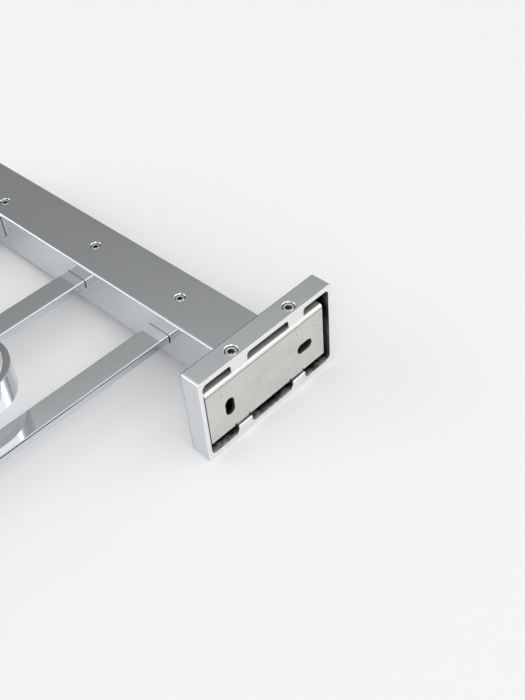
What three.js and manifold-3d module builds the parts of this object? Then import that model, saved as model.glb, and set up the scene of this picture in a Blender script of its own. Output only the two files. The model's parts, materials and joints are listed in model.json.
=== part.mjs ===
// Wall-mounted towel rack: two side beams on wall flanges, two flat shelf bars, a square front rail
// and a bent towel rail of flat strip. Millimetres.
//
// The rack is described lying on its shelf side, with its underside up, the way it is turned over to
// reach its screws:
//   X runs along the wall, 0 halfway between the two flanges,
//   Y runs towards the wall, 0 on the wall, so the rack reaches out along -Y,
//   Z is up as the rack lies. On the wall, +Z points down.
import * as THREE from 'three';
import { RoundedBoxGeometry } from 'three/addons/geometries/RoundedBoxGeometry.js';
import * as BufferGeometryUtils from 'three/addons/utils/BufferGeometryUtils.js';
import Module from 'manifold-3d';

const wasm = await Module();
wasm.setup();

// ---- Driving dimensions ------------------------------------------------------------------------

const OVERALL_WIDTH = 600;
const OVERALL_DEPTH = 236;
const GAP = 0.3; // left between pieces that touch or slide
const EDGE_RADIUS = 0.8; // polished outer edges

const FLANGE = { width: 86, thickness: 11.4, height: 50, rim: 2.7, sideRim: 2.2, pocketDepth: 8 };
const BOSS = { width: 10.2, reach: 4.7, pitch: 37 }; // carry the set screws
const LUG = { topWidth: 9, baseWidth: 11.4, footHeight: 1.3, reach: 4.4, thickness: 2.4 }; // hooks the tabs

const PLATE = { width: 76.6, faceHeight: 31.9, bottom: -15.6, thickness: 1.5, bendRadius: 1.8, lipDepth: 7 };
const PLATE_OFFSET = 1.8; // each plate stands this far inwards of its flange's middle
const SLOT = { length: 10, width: 5.6, pitch: 50, z: -1.1 };
const TAB = { width: 8, joggle: 2.8, bottom: -20.4 };

const BEAM = { width: 31, height: 25, wall: 1.5 };
const CAP = { thickness: 2.7, spigot: 6 };
const ANCHOR_DEPTH = 18;

const BAR = { depth: 14, height: 4.8, reachIntoBeam: 20 };
const REAR_BAR_Y = -60;
const MIDDLE_BAR_Y = -125;
const RAIL_Y = -197;
const RAIL = { depth: 14, bottom: -3.2, top: 10.6, wall: 1.5, reachIntoBeam: 20 };
const SOCKET_DEPTH = 20;

const STRIP = { thickness: 3.5, height: 15, bottom: 11, bendRadius: 22.7, legX: 175.3, rearY: -65.3 };
const STRIP_TAB = { length: 8, depthInRail: 4 };

const SET_SCREW = { radius: 3, length: 8, key: 3, socketDepth: 3, y: -4.6 };
const GRUB_SCREW = { radius: 2.5, key: 2.5, socketDepth: 2.5 };
const RAIL_SCREW_INSET = 6.6; // the front rail's screw stands nearer to the beam's inner side
const BOLT = { radius: 2.5, headRadius: 4.6, headHeight: 2.4, length: 16, key: 3, socketDepth: 1.6 };
const BOLT_PITCH = 16;
const COUNTERSINK = 0.5; // shallow chamfer round each screw's hole
const HOLE_CLEARANCE = 0.3;
const SCREW_RECESS = 0.4; // screws end this far below the face they are driven into

const BEAM_X = (OVERALL_WIDTH - FLANGE.width) / 2;
const BEAM_BACK_Y = -FLANGE.thickness - GAP;
const BEAM_FRONT_Y = -OVERALL_DEPTH + CAP.thickness + GAP;
const BEAM_INNER = { width: BEAM.width - 2 * BEAM.wall, height: BEAM.height - 2 * BEAM.wall };
const BAR_HALF_LENGTH = BEAM_X - BEAM.width / 2 + BAR.reachIntoBeam;
const RAIL_HALF_LENGTH = BEAM_X - BEAM.width / 2 + RAIL.reachIntoBeam;
const BAR_TOP = BAR.height / 2;

const SIDES = [{ name: 'left', sign: -1 }, { name: 'right', sign: 1 }];

// ---- Materials ---------------------------------------------------------------------------------

const chrome = () => new THREE.MeshStandardMaterial({ color: 0xd4d8da, roughness: 0.08, metalness: 1 });
const stainless = () => new THREE.MeshStandardMaterial({ color: 0xc6c2ba, roughness: 0.35, metalness: 1 });
const plainBrass = () => new THREE.MeshStandardMaterial({ color: 0xb8964f, roughness: 0.4, metalness: 1 });
const zincSteel = () => new THREE.MeshStandardMaterial({ color: 0xb9bcc0, roughness: 0.3, metalness: 1 });

// ---- Solids ------------------------------------------------------------------------------------

function solidOf(geometry) {
  geometry.deleteAttribute('normal');
  geometry.deleteAttribute('uv');
  const merged = BufferGeometryUtils.mergeVertices(geometry, 1e-4);
  const vertProperties = new Float32Array(merged.attributes.position.array);
  const triVerts = new Uint32Array(merged.index.array);
  return new wasm.Manifold(new wasm.Mesh({ numProp: 3, vertProperties, triVerts }));
}

function geometryOf(solid) {
  const { vertProperties, triVerts } = solid.getMesh();
  const geometry = new THREE.BufferGeometry();
  geometry.setAttribute('position', new THREE.BufferAttribute(vertProperties, 3));
  geometry.setIndex(new THREE.BufferAttribute(triVerts, 1));
  geometry.computeVertexNormals();
  return geometry;
}

// A box between two corners.
function block(low, high) {
  const size = high.map((value, axis) => value - low[axis]);
  const middle = high.map((value, axis) => (value + low[axis]) / 2);
  return solidOf(new THREE.BoxGeometry(...size).translate(...middle));
}

// The same, with rounded edges.
function roundedBlock(low, high, radius = EDGE_RADIUS) {
  const size = high.map((value, axis) => value - low[axis]);
  const middle = high.map((value, axis) => (value + low[axis]) / 2);
  return solidOf(new RoundedBoxGeometry(...size, 2, radius).translate(...middle));
}

// A round rod standing along Z; with six sides it is a hexagon measured across its corners.
function rodZ(radius, x, y, bottom, top, sides = 24, topRadius = radius) {
  const rod = new THREE.CylinderGeometry(topRadius, radius, top - bottom, sides);
  return solidOf(rod.rotateX(Math.PI / 2).translate(x, y, (bottom + top) / 2));
}

// A round rod along Y, from its front end to its back end.
function rodY(radius, x, z, front, back, sides = 24, backRadius = radius) {
  const rod = new THREE.CylinderGeometry(backRadius, radius, back - front, sides);
  return solidOf(rod.translate(x, (front + back) / 2, z));
}

// An outline drawn in X and Z, swept along -Y from the given plane.
function prismY(shape, startY, depth) {
  const prism = new THREE.ExtrudeGeometry(shape, { depth, bevelEnabled: false, curveSegments: 5 });
  return solidOf(prism.rotateX(Math.PI / 2).translate(0, startY, 0));
}

// An outline drawn in Y and Z, swept along X about the given middle.
function prismX(shape, middleX, width) {
  const prism = new THREE.ExtrudeGeometry(shape, { depth: width, bevelEnabled: false, curveSegments: 5 });
  return solidOf(prism.rotateX(Math.PI / 2).rotateZ(Math.PI / 2).translate(middleX - width / 2, 0, 0));
}

// A closed outline through corners [a, b, radius], each rounded by its radius.
function roundedOutline(corners) {
  const shape = new THREE.Shape();
  corners.forEach(([a, b, radius], index) => {
    const corner = new THREE.Vector2(a, b);
    const before = new THREE.Vector2(...corners.at(index - 1));
    const after = new THREE.Vector2(...corners[(index + 1) % corners.length]);
    const start = before.sub(corner).setLength(radius).add(corner);
    const end = after.sub(corner).setLength(radius).add(corner);
    if (index === 0) shape.moveTo(start.x, start.y);
    else shape.lineTo(start.x, start.y);
    if (radius > 0) shape.quadraticCurveTo(corner.x, corner.y, end.x, end.y);
  });
  return shape;
}

const hexRadius = (acrossFlats) => acrossFlats / Math.sqrt(3);

// ---- Wall flange -------------------------------------------------------------------------------

// The pocket's outline: a rounded rectangle with the two screw bosses standing into its upper edge.
function pocketOutline() {
  const right = FLANGE.width / 2 - FLANGE.sideRim;
  const top = FLANGE.height / 2 - FLANGE.rim;
  const bossEnd = top - BOSS.reach;
  const corners = [[-right, -top, 3], [right, -top, 3], [right, top, 2.5]];
  for (const middle of [BOSS.pitch / 2, -BOSS.pitch / 2]) {
    const outer = middle + BOSS.width / 2;
    const inner = middle - BOSS.width / 2;
    corners.push([outer, top, 1.6], [outer, bossEnd, 1], [inner, bossEnd, 1], [inner, top, 1.6]);
  }
  corners.push([-right, top, 2.5]);
  return roundedOutline(corners);
}

function lugOutline(middle) {
  const root = -FLANGE.height / 2 + FLANGE.rim;
  const base = LUG.baseWidth / 2;
  const tip = LUG.topWidth / 2;
  return roundedOutline([
    [middle - base, root - 1, 0],
    [middle + base, root - 1, 0],
    [middle + base, root + 0.1, 0],
    [middle + tip, root + LUG.footHeight, 1],
    [middle + tip, root + LUG.reach, 0.6],
    [middle - tip, root + LUG.reach, 0.6],
    [middle - tip, root + LUG.footHeight, 1],
    [middle - base, root + 0.1, 0],
  ]);
}

function wallFlange() {
  const halfWidth = FLANGE.width / 2;
  const top = FLANGE.height / 2;
  let flange = roundedBlock([-halfWidth, -FLANGE.thickness, -top], [halfWidth, 0, top])
    .subtract(prismY(pocketOutline(), 1, FLANGE.pocketDepth + 1));
  for (const middle of [-BOSS.pitch / 2, BOSS.pitch / 2]) {
    const hole = SET_SCREW.radius + HOLE_CLEARANCE;
    flange = flange
      .add(prismY(lugOutline(middle), 0, LUG.thickness))
      .subtract(rodZ(hole, middle, SET_SCREW.y, 10, top + 1))
      .subtract(rodZ(hole, middle, SET_SCREW.y, top - COUNTERSINK, top, 24, hole + COUNTERSINK));
  }
  for (const x of [-BOLT_PITCH / 2, BOLT_PITCH / 2]) {
    const floor = -FLANGE.pocketDepth;
    const head = BOLT.headRadius + HOLE_CLEARANCE;
    flange = flange
      .subtract(rodY(BOLT.radius + HOLE_CLEARANCE, x, 0, -FLANGE.thickness - 1, floor + 1))
      .subtract(rodY(BOLT.radius + HOLE_CLEARANCE, x, 0, floor - BOLT.headHeight, floor + GAP, 24, head));
  }
  return flange;
}

function setScrew() {
  const top = FLANGE.height / 2 - SCREW_RECESS;
  const bottom = top - SET_SCREW.length;
  const tip = SET_SCREW.radius - 0.8;
  return rodZ(SET_SCREW.radius, 0, 0, bottom + 0.8, top)
    .add(rodZ(tip, 0, 0, bottom, bottom + 0.8, 24, SET_SCREW.radius))
    .subtract(rodZ(hexRadius(SET_SCREW.key), 0, 0, top - SET_SCREW.socketDepth, top + 1, 6));
}

// ---- Wall plate --------------------------------------------------------------------------------

// The pressed sheet's section: a flat face against the wall and a lip bent into the pocket.
function plateSection() {
  const back = -GAP;
  const front = back - PLATE.thickness;
  const top = PLATE.bottom + PLATE.faceHeight;
  const lipEnd = back - PLATE.lipDepth;
  return roundedOutline([
    [back, PLATE.bottom, 0],
    [back, top, PLATE.bendRadius],
    [lipEnd, top, 0],
    [lipEnd, top - PLATE.thickness, 0],
    [front, top - PLATE.thickness, 0.3],
    [front, PLATE.bottom, 0],
  ]);
}

// A tab pressed forward out of the plate's plane, to reach down behind a lug of the flange.
function tabSection() {
  const back = -GAP;
  const set = back - TAB.joggle;
  const slope = 2.2;
  return roundedOutline([
    [back, PLATE.bottom + 2, 0],
    [back, PLATE.bottom, 0.8],
    [set, PLATE.bottom - slope, 0.8],
    [set, TAB.bottom, 0],
    [set - PLATE.thickness, TAB.bottom, 0],
    [set - PLATE.thickness, PLATE.bottom - slope + 0.7, 0.8],
    [back - PLATE.thickness, PLATE.bottom + 0.7, 0.8],
    [back - PLATE.thickness, PLATE.bottom + 2, 0],
  ]);
}

function slotOutline(x, length, width) {
  const a = length / 2;
  const b = width / 2;
  const radius = Math.min(a, b);
  return roundedOutline([
    [x - a, SLOT.z - b, radius],
    [x + a, SLOT.z - b, radius],
    [x + a, SLOT.z + b, radius],
    [x - a, SLOT.z + b, radius],
  ]);
}

function wallPlate() {
  const cutDepth = 4;
  let plate = prismX(plateSection(), 0, PLATE.width);
  for (const lug of [-BOSS.pitch / 2, BOSS.pitch / 2]) {
    for (const end of [-1, 1]) {
      const x = lug + end * (TAB.width / 2 + 0.5);
      plate = plate.subtract(block([x - 0.5, -cutDepth, PLATE.bottom - 1], [x + 0.5, 1, PLATE.bottom + 1.2]));
    }
    plate = plate.add(prismX(tabSection(), lug, TAB.width));
  }
  return plate
    .subtract(prismY(slotOutline(-SLOT.pitch / 2, SLOT.length, SLOT.width), 1, cutDepth))
    .subtract(prismY(slotOutline(SLOT.pitch / 2, SLOT.width, SLOT.length), 1, cutDepth));
}

// ---- Side beam and what it holds ---------------------------------------------------------------

// A square-cornered tube round the origin, open at both ends. Its inner side faces -X.
function sideBeam() {
  const x = BEAM.width / 2;
  const z = BEAM.height / 2;
  const innerX = BEAM_INNER.width / 2;
  const innerZ = BEAM_INNER.height / 2;
  const slotY = BAR.depth / 2 + GAP;
  let beam = roundedBlock([-x, BEAM_FRONT_Y, -z], [x, BEAM_BACK_Y, z])
    .subtract(block([-innerX, BEAM_FRONT_Y - 1, -innerZ], [innerX, BEAM_BACK_Y + 1, innerZ]));
  for (const y of [REAR_BAR_Y, MIDDLE_BAR_Y]) {
    beam = beam
      .subtract(block([-x - 1, y - slotY, -BAR_TOP - GAP], [-innerX + 1, y + slotY, BAR_TOP + GAP]))
      .subtract(grubScrewHole(0, y));
  }
  const railSlot = block(
    [-x - 1, RAIL_Y - slotY, RAIL.bottom - GAP],
    [-innerX + 1, RAIL_Y + slotY, RAIL.top + GAP],
  );
  return beam.subtract(railSlot).subtract(grubScrewHole(-RAIL_SCREW_INSET, RAIL_Y));
}

function grubScrewHole(x, y) {
  const top = BEAM.height / 2;
  const hole = GRUB_SCREW.radius + HOLE_CLEARANCE;
  return rodZ(hole, x, y, BEAM_INNER.height / 2 - 1, top + 1)
    .add(rodZ(hole, x, y, top - COUNTERSINK, top, 24, hole + COUNTERSINK));
}

// A screw driven down from the beam's upper face until its point stands at the given height.
function grubScrew(bottom) {
  const top = BEAM.height / 2 - SCREW_RECESS;
  const tip = GRUB_SCREW.radius - 0.8;
  return rodZ(GRUB_SCREW.radius, 0, 0, bottom + 0.8, top)
    .add(rodZ(tip, 0, 0, bottom, bottom + 0.8, 24, GRUB_SCREW.radius))
    .subtract(rodZ(hexRadius(GRUB_SCREW.key), 0, 0, top - GRUB_SCREW.socketDepth, top + 1, 6));
}

function beamEndCap() {
  const x = BEAM.width / 2;
  const z = BEAM.height / 2;
  const spigotX = BEAM_INNER.width / 2 - GAP;
  const spigotZ = BEAM_INNER.height / 2 - GAP;
  const back = -OVERALL_DEPTH + CAP.thickness;
  return roundedBlock([-x, -OVERALL_DEPTH, -z], [x, back, z])
    .add(block([-spigotX, back - 1, -spigotZ], [spigotX, back + CAP.spigot, spigotZ]));
}

// The block in the beam's wall end that the flange is bolted to.
function beamAnchorBlock() {
  const x = BEAM_INNER.width / 2 - GAP;
  const z = BEAM_INNER.height / 2 - GAP;
  const back = BEAM_BACK_Y;
  let anchor = block([-x, back - ANCHOR_DEPTH, -z], [x, back, z]);
  for (const boltX of [-BOLT_PITCH / 2, BOLT_PITCH / 2]) {
    anchor = anchor.subtract(rodY(BOLT.radius + HOLE_CLEARANCE, boltX, 0, back - ANCHOR_DEPTH - 1, back + 1));
  }
  return anchor;
}

function flangeBolt() {
  const headBack = -FLANGE.pocketDepth + GAP;
  const headFront = headBack - BOLT.headHeight;
  return rodY(BOLT.radius, 0, 0, headBack - BOLT.length, headFront)
    .add(rodY(BOLT.radius, 0, 0, headFront, headBack, 24, BOLT.headRadius))
    .subtract(rodY(hexRadius(BOLT.key), 0, 0, headBack - BOLT.socketDepth, headBack + 1, 6));
}

// The block inside the beam that a flat bar's end is pushed into and its grub screw is tapped through.
function barSocket() {
  const x = BEAM_INNER.width / 2 - GAP;
  const y = SOCKET_DEPTH / 2;
  const z = BEAM_INNER.height / 2 - GAP;
  const mouthY = BAR.depth / 2 + GAP;
  const mouthZ = BAR_TOP + GAP;
  const mouthEnd = -BEAM.width / 2 + BAR.reachIntoBeam + GAP;
  return block([-x, -y, -z], [x, y, z])
    .subtract(block([-x - 1, -mouthY, -mouthZ], [mouthEnd, mouthY, mouthZ]))
    .subtract(rodZ(GRUB_SCREW.radius + HOLE_CLEARANCE, 0, 0, 0, z + 1));
}

// ---- Bars and rails ----------------------------------------------------------------------------

function flatBar(y) {
  const front = y - BAR.depth / 2;
  const back = y + BAR.depth / 2;
  return roundedBlock([-BAR_HALF_LENGTH, front, -BAR_TOP], [BAR_HALF_LENGTH, back, BAR_TOP]);
}

const stripLegX = STRIP.legX - STRIP.thickness / 2; // middle of a leg's thickness

// A slot for one of the bent rail's tabs, in the bar or rail whose middle line is at the given Y.
function stripTabSlot(sign, y, bottom, top) {
  const x = STRIP.thickness / 2 + GAP;
  const halfLength = STRIP_TAB.length / 2 + GAP;
  return block([sign * stripLegX - x, y - halfLength, bottom], [sign * stripLegX + x, y + halfLength, top]);
}

function middleShelfBar() {
  const bar = flatBar(MIDDLE_BAR_Y);
  return SIDES.reduce((rest, { sign }) => rest.subtract(stripTabSlot(sign, MIDDLE_BAR_Y, -5, 5)), bar);
}

function frontRail() {
  const y = RAIL.depth / 2;
  const length = RAIL_HALF_LENGTH;
  let rail = roundedBlock([-length, RAIL_Y - y, RAIL.bottom], [length, RAIL_Y + y, RAIL.top])
    .subtract(block(
      [-length - 1, RAIL_Y - y + RAIL.wall, RAIL.bottom + RAIL.wall],
      [length + 1, RAIL_Y + y - RAIL.wall, RAIL.top - RAIL.wall],
    ));
  for (const { sign } of SIDES) {
    const screwX = sign * (BEAM_X - RAIL_SCREW_INSET);
    rail = rail
      .subtract(stripTabSlot(sign, RAIL_Y, RAIL.top - RAIL.wall - 1, RAIL.top + 1))
      .subtract(rodZ(GRUB_SCREW.radius + HOLE_CLEARANCE, screwX, RAIL_Y, 5, RAIL.top + 1));
  }
  return rail;
}

// The bent rail seen from above: out along one leg, round a bend, along the wall and back.
function stripOutline() {
  const outerX = STRIP.legX;
  const innerX = outerX - STRIP.thickness;
  const outerY = STRIP.rearY;
  const innerY = outerY - STRIP.thickness;
  const endY = RAIL_Y - RAIL.depth / 2 + 1;
  const centreX = outerX - STRIP.bendRadius;
  const centreY = outerY - STRIP.bendRadius;
  const innerRadius = STRIP.bendRadius - STRIP.thickness;
  const quarter = Math.PI / 2;
  const shape = new THREE.Shape();
  shape.moveTo(innerX, endY);
  shape.lineTo(outerX, endY);
  shape.absarc(centreX, centreY, STRIP.bendRadius, 0, quarter, false);
  shape.absarc(-centreX, centreY, STRIP.bendRadius, quarter, 2 * quarter, false);
  shape.lineTo(-outerX, endY);
  shape.lineTo(-innerX, endY);
  shape.absarc(-centreX, centreY, innerRadius, 2 * quarter, quarter, true);
  shape.lineTo(centreX, innerY);
  shape.absarc(centreX, centreY, innerRadius, quarter, 0, true);
  return shape;
}

function towelRail() {
  const plan = new THREE.ExtrudeGeometry(stripOutline(), {
    depth: STRIP.height,
    bevelEnabled: false,
    curveSegments: 16,
  });
  let rail = solidOf(plan.translate(0, 0, STRIP.bottom));
  const x = STRIP.thickness / 2;
  const halfLength = STRIP_TAB.length / 2;
  for (const { sign } of SIDES) {
    for (const [y, tabBottom] of [[MIDDLE_BAR_Y, -BAR_TOP], [RAIL_Y, RAIL.top - STRIP_TAB.depthInRail]]) {
      rail = rail.add(block(
        [sign * stripLegX - x, y - halfLength, tabBottom],
        [sign * stripLegX + x, y + halfLength, STRIP.bottom + 1],
      ));
    }
  }
  return rail;
}

// ---- The rack ----------------------------------------------------------------------------------

function piece(name, solid, material, position = [0, 0, 0]) {
  const mesh = new THREE.Mesh(geometryOf(solid), material);
  mesh.name = name;
  mesh.position.set(...position);
  return mesh;
}

// Everything at one end of the rack. The group is turned so that the beam's inner side faces inwards.
function rackEnd({ name, sign }) {
  const end = new THREE.Group();
  end.position.x = sign * BEAM_X;
  end.add(piece(`wall_flange_${name}`, wallFlange(), chrome()));
  end.add(piece(`wall_plate_${name}`, wallPlate(), stainless(), [-sign * PLATE_OFFSET, 0, 0]));
  for (const [place, x] of [['inner', -sign * BOSS.pitch / 2], ['outer', sign * BOSS.pitch / 2]]) {
    end.add(piece(`set_screw_${name}_${place}`, setScrew(), zincSteel(), [x, SET_SCREW.y, 0]));
  }
  for (const [place, x] of [['inner', -sign * BOLT_PITCH / 2], ['outer', sign * BOLT_PITCH / 2]]) {
    end.add(piece(`flange_bolt_${name}_${place}`, flangeBolt(), zincSteel(), [x, 0, 0]));
  }
  const flip = (solid) => (sign < 0 ? solid.mirror([1, 0, 0]) : solid);
  end.add(piece(`side_beam_${name}`, flip(sideBeam()), chrome()));
  end.add(piece(`beam_end_cap_${name}`, beamEndCap(), chrome()));
  end.add(piece(`beam_anchor_block_${name}`, beamAnchorBlock(), plainBrass()));
  for (const [bar, y] of [['rear', REAR_BAR_Y], ['middle', MIDDLE_BAR_Y]]) {
    end.add(piece(`${bar}_bar_socket_${name}`, flip(barSocket()), plainBrass(), [0, y, 0]));
    end.add(piece(`${bar}_grub_screw_${name}`, grubScrew(BAR_TOP + GAP), zincSteel(), [0, y, 0]));
  }
  const railScrewX = -sign * RAIL_SCREW_INSET;
  end.add(piece(`rail_grub_screw_${name}`, grubScrew(RAIL.top - 4), zincSteel(), [railScrewX, RAIL_Y, 0]));
  return end;
}

const rack = new THREE.Group();
for (const side of SIDES) rack.add(rackEnd(side));
rack.add(piece('rear_shelf_bar', flatBar(REAR_BAR_Y), chrome()));
rack.add(piece('middle_shelf_bar', middleShelfBar(), chrome()));
rack.add(piece('front_rail', frontRail(), chrome()));
rack.add(piece('towel_rail', towelRail(), chrome()));

export default rack;
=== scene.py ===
"""A chromed towel rack lying on its shelf side on a pale table, seen from behind its wall flange.

Every visible piece stands in for the CAD node of the same name, at that node's own place and size.
Shapes are worked out in millimetres and scaled to metres when they become objects.
"""

import json
import math

import bmesh
import bpy
from mathutils import Matrix, Vector


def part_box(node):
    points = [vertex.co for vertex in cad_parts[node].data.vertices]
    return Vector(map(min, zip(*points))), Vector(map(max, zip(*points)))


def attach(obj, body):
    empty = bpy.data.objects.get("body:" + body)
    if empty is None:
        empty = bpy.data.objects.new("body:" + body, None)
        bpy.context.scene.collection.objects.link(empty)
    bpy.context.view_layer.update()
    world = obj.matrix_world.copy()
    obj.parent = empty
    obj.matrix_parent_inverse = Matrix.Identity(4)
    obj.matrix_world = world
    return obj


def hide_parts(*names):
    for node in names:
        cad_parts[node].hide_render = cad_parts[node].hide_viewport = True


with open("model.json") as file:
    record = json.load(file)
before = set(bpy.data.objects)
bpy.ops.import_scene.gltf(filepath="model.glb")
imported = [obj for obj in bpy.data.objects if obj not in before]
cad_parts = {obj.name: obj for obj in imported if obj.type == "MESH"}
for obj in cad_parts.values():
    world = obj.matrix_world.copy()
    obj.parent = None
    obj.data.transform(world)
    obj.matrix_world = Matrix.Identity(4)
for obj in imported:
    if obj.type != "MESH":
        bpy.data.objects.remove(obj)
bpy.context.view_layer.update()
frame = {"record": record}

body_of_node = {
    node: body
    for body, nodes in frame["record"]["behaviour"]["bodies"].items()
    for node in nodes
}

# ---- Sizes, in millimetres -----------------------------------------------------------------------

MM = 0.001
EDGE = 0.8  # rounding of the polished outer edges
BEAM_EDGE = 1.1
FINE_EDGE = 0.35  # rounding of small and hidden edges
ARC_STEPS = 6  # straight steps in each rounded corner
ROUND_STEPS = 48  # straight steps round a screw or a hole
SHARP_ANGLE = math.radians(35)
REACH = 5  # how far a cutting tool runs past what it cuts
GAP = 0.3  # room between pieces that meet

FLANGE_RIM = 2.7
FLANGE_SIDE_RIM = 2.2
POCKET_DEPTH = 8
POCKET_FLOOR_RADIUS = 1.2
FLANGE_CORNER = 1.4
FLANGE_FRONT_EDGE = 0.55
RIM_EDGE = 0.45
RIM_INNER_EDGE = 0.35
POCKET_LOW_CORNER = 3.0
POCKET_HIGH_CORNER = 2.5
BOSS_WIDTH = 10.2
BOSS_REACH = 4.7
BOSS_ROOT = 1.6
BOSS_CORNER = 1.2
SCREW_PITCH = 37
LUG_TOP_WIDTH = 9
LUG_BASE_WIDTH = 11.4
LUG_FOOT = 1.3
LUG_FLARE = 1.0  # radius where the flared foot runs into the side
LUG_CORNER = 0.7
LUG_ROOT = 1.0  # how far a lug runs into the rim
LUG_REACH = 4.4
LUG_THICKNESS = 2.4
LUG_EDGE = 0.9

PLATE_BOTTOM = -15.6
PLATE_THICKNESS = 1.5
PLATE_BEND = 1.8
PLATE_CREASE = 0.5  # width of the painted shade line along the crease where the bend starts
PLATE_EDGE = 0.2
TAB_WIDTH = 8
TAB_JOGGLE = 2.8
TAB_SLOPE = 2.2
TAB_BEND = 3.0
NOTCH_WIDTH = 1
NOTCH_HEIGHT = 1.2
SLOT_LENGTH = 10
SLOT_WIDTH = 5.6
SLOT_PITCH = 50
SLOT_Z = -1.1

BEAM_WALL = 1.5
SLOT_PLAY = 0.55  # a bar's slot in its beam is this much wider on the wall's side
SLOT_CORNER = 0.6
CAP_THICKNESS = 2.7
RAIL_WALL = 1.5
STRIP_THICKNESS = 3.5
STRIP_BEND = 22.7
STRIP_HEIGHT = 15
STRIP_TAB_LENGTH = 8
STRIP_TAB_DEPTH = 4  # how far a tab stands down into the front rail
STRIP_BEND_STEPS = 32
STRIP_EDGE = 0.45

SET_SCREW = {"radius": 3.0, "key": 3.0, "socket": 3.0, "pitch": 1.0}
GRUB_SCREW = {"radius": 2.5, "key": 2.5, "socket": 2.5, "pitch": 0.8}
BOLT = {"radius": 2.5, "key": 3.0, "socket": 1.6, "pitch": 0.8, "head": 2.4, "head_radius": 4.6}
THREAD_DEPTH = 0.54  # share of the pitch
THREAD_CREST = 1.35  # steepness of the vee's sides, which above 1 leaves a flat crest
ROWS_PER_TURN = 8
SCREW_CHAMFER = 0.35
DRILL_POINT = 0.28  # depth of a socket's drilled cone, as a share of the key
SOCKET_RADIUS = 0.6  # just outside a hexagon's corners, as a share of the key
HEAD_FOOT_EDGE = 0.2
HEAD_EDGE = 0.5
HEAD_EDGE_MIDDLE = 0.15  # how far the middle of the head's rounded edge stands in from both faces
HOLE_CLEARANCE = 0.13
COUNTERSINK = 0.35
SET_SCREW_HOLE = 12
GRUB_SCREW_HOLE = 4

SIDES = {"left": -1, "right": 1}


def node_box(node):
    """Lowest and highest corner of a CAD node, in millimetres."""
    low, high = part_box(node)
    return low / MM, high / MM


def middle_of(node):
    low, high = node_box(node)
    return (low + high) / 2


# ---- Outlines ------------------------------------------------------------------------------------


def outward_normal(start, end):
    along = (end - start).normalized()
    return Vector((along.y, -along.x))


def rounded_outline(corners, inset=0.0, steps=ARC_STEPS):
    """Points of an anticlockwise outline with corners (a, b, radius), moved inwards by inset."""
    points = []
    for index, (a, b, radius) in enumerate(corners):
        corner = Vector((a, b))
        first = outward_normal(Vector(corners[index - 1][:2]), corner)
        last = outward_normal(corner, Vector(corners[(index + 1) % len(corners)][:2]))
        turn = math.atan2(first.cross(last), first.dot(last))
        side = 1 if turn > 0 else -1
        arc = max(radius - side * inset, 0.0)
        mitre = (first + last) / (1 + first.dot(last))
        centre = corner - mitre * (inset + side * arc)
        for step in range(steps + 1):
            normal = Matrix.Rotation(turn * step / steps, 2) @ first
            points.append(centre + side * arc * normal)
    return points


def rectangle(low, high, radius=0.0):
    (a, b), (c, d) = low, high
    return [(a, b, radius), (c, b, radius), (c, d, radius), (a, d, radius)]


# ---- Solids --------------------------------------------------------------------------------------

PLACE = {
    "X": lambda a, b, height: (height, a, b),
    "Y": lambda a, b, height: (a, height, b),
    "Z": lambda a, b, height: (a, b, height),
}


def loft(loops):
    """A closed mesh through loops of equally many points, with its two ends filled."""
    mesh = bmesh.new()
    rows = [[mesh.verts.new(point) for point in loop] for loop in loops]
    for row, following in zip(rows, rows[1:]):
        for index in range(len(row)):
            after = (index + 1) % len(row)
            mesh.faces.new((row[index], row[after], following[after], following[index]))
    mesh.faces.new(reversed(rows[0]))
    mesh.faces.new(rows[-1])
    bmesh.ops.remove_doubles(mesh, verts=mesh.verts, dist=1e-4)
    bmesh.ops.dissolve_degenerate(mesh, edges=mesh.edges, dist=1e-4)
    bmesh.ops.recalc_face_normals(mesh, faces=mesh.faces)
    return mesh


def quarter_round(radius, steps=ARC_STEPS):
    """Pairs of inset and rise from an end face's edge round to the side."""
    if radius == 0:
        return [(0.0, 0.0)]
    turns = [math.pi / 2 * step / steps for step in range(steps + 1)]
    return [(radius * (1 - math.sin(turn)), radius * (1 - math.cos(turn))) for turn in turns]


def swept(axis, corners, levels, steps=ARC_STEPS):
    """An outline carried along an axis through levels of (inset, height)."""
    place = PLACE[axis]
    loops = []
    for inset, height in levels:
        loops.append([place(*point, height) for point in rounded_outline(corners, inset, steps)])
    return loft(loops)


def prism(axis, corners, low, high, low_edge=0.0, high_edge=0.0, steps=ARC_STEPS):
    """An outline swept along an axis, with the edges of its two ends rounded."""
    levels = [(inset, low + rise) for inset, rise in quarter_round(low_edge)]
    levels += [(inset, high - rise) for inset, rise in reversed(quarter_round(high_edge))]
    return swept(axis, corners, levels, steps)


def box(low, high, edge=0.0):
    return prism("Z", rectangle(low[:2], high[:2], edge), low[2], high[2], edge, edge)


def turned(axis, a, b, profile, steps=ROUND_STEPS):
    """A round solid on an axis through (a, b), from pairs of radius and height."""
    place = PLACE[axis]
    turns = [math.tau * step / steps for step in range(steps)]
    return loft(
        [
            [place(a + radius * math.cos(turn), b + radius * math.sin(turn), height) for turn in turns]
            for radius, height in profile
        ]
    )


def scratch_object(mesh):
    data = bpy.data.meshes.new("scratch")
    mesh.to_mesh(data)
    mesh.free()
    item = bpy.data.objects.new("scratch", data)
    bpy.context.scene.collection.objects.link(item)
    return item


def combined(target, tools, operation):
    """The target solid joined with or cut by each tool in turn."""
    result = scratch_object(target)
    for tool in tools:
        tool_object = scratch_object(tool)
        modifier = result.modifiers.new("combine", "BOOLEAN")
        modifier.solver = "MANIFOLD"
        modifier.operation = operation
        modifier.object = tool_object
        graph = bpy.context.evaluated_depsgraph_get()
        data = bpy.data.meshes.new_from_object(result.evaluated_get(graph))
        result.modifiers.clear()
        result.data = data
        bpy.data.objects.remove(tool_object)
    mesh = bmesh.new()
    mesh.from_mesh(result.data)
    bpy.data.objects.remove(result)
    return mesh


def joined(target, *tools):
    return combined(target, tools, "UNION")


def cut(target, *tools):
    return combined(target, tools, "DIFFERENCE")


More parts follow.
